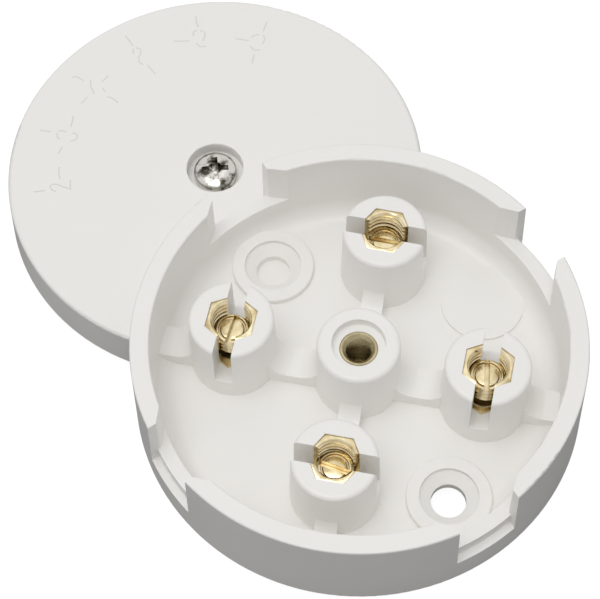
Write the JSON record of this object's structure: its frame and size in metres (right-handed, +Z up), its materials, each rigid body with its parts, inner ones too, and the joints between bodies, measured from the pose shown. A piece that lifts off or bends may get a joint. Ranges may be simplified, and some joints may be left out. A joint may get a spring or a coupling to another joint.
{
  "type": "junction box",
  "caption": "Round surface junction box: open base with brass clamping terminals round a centre post, lying against its screw-down cover.",
  "frame": {"origin": "under the middle of the bounding box, on the ground both lower edges rest on", "axes": "+Y along the line from the base's axis to the cover's axis, +Z up, +X to the right of that line"},
  "size_m": [0.0908, 0.1536, 0.0364],
  "materials": {
    "moulding": "white moulded plastic with a soft sheen",
    "plated_steel": "bright nickel plating",
    "brass": "bright turned brass"
  },
  "bodies": {
    "box": {"base": "moulding", "cover": "moulding", "centre_insert": "brass", "terminal_pillar_1": "brass", "terminal_pillar_2": "brass", "terminal_pillar_3": "brass", "terminal_pillar_4": "brass"},
    "cover_screw": {"cover_screw": "plated_steel", "screw_retainer": "plated_steel"},
    "terminal_screw_1": {"terminal_screw_1": "brass"},
    "terminal_screw_2": {"terminal_screw_2": "brass"},
    "terminal_screw_3": {"terminal_screw_3": "brass"},
    "terminal_screw_4": {"terminal_screw_4": "brass"}
  },
  "joints": [
    {"name": "cover_screw_turn", "type": "hinge", "parent": "box", "child": "cover_screw", "pos_m": [0, 0.03045, 0.01805], "axis": [0, -0.171, 0.9853], "continuous": true},
    {"name": "terminal_screw_1_travel", "type": "slide", "parent": "box", "child": "terminal_screw_1", "axis": [0, -0.171, 0.9853], "range_m": [-0.0009, 0.0035]},
    {"name": "terminal_screw_2_travel", "type": "slide", "parent": "box", "child": "terminal_screw_2", "axis": [0, -0.171, 0.9853], "range_m": [-0.0009, 0.0035]},
    {"name": "terminal_screw_3_travel", "type": "slide", "parent": "box", "child": "terminal_screw_3", "axis": [0, -0.171, 0.9853], "range_m": [-0.0009, 0.0035]},
    {"name": "terminal_screw_4_travel", "type": "slide", "parent": "box", "child": "terminal_screw_4", "axis": [0, -0.171, 0.9853], "range_m": [-0.0009, 0.0035]}
  ]
}
